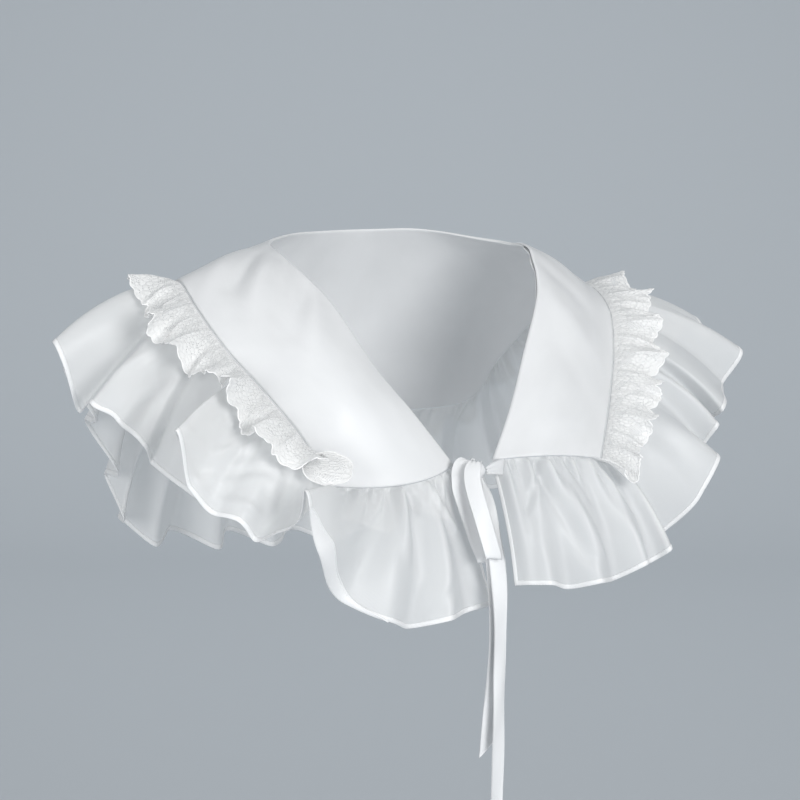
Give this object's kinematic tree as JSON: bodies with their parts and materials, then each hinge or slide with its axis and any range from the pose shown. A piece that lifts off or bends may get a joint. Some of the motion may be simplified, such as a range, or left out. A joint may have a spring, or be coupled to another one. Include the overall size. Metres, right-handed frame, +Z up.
{
  "type": "ruffled lace collar",
  "caption": "Broad open-front cape collar in satin with a gathered sheer ruffle, a lace frill along each outer seam and a ribbon tied in a bow at the front.",
  "frame": {"origin": "middle of the neck opening at shoulder level, where the wearer's neck goes through the collar", "axes": "+Z up, -Y to the wearer's front, +X to the wearer's left"},
  "size_m": [0.4874, 0.3239, 0.3693],
  "materials": {
    "satin": "smooth bright white satin with a soft gloss",
    "satin_lining": "the same satin on the under layer, a little duller",
    "organza": "crisp sheer white organza with a narrow rolled hem",
    "lace": "matt white cotton lace with a scalloped edge",
    "ribbon": "narrow white satin ribbon"
  },
  "bodies": {
    "root": {"collar_top": "satin", "collar_under": "satin_lining", "ruffle_right": "organza", "ruffle_left": "organza", "lace_right": "lace", "lace_left": "lace", "tie_knot": "ribbon", "tie_strap_right": "ribbon", "tie_strap_left": "ribbon", "tie_loop_front": "ribbon", "tie_loop_rear": "ribbon", "tie_tail_short": "ribbon", "tie_tail_long": "ribbon"}
  },
  "joints": []
}
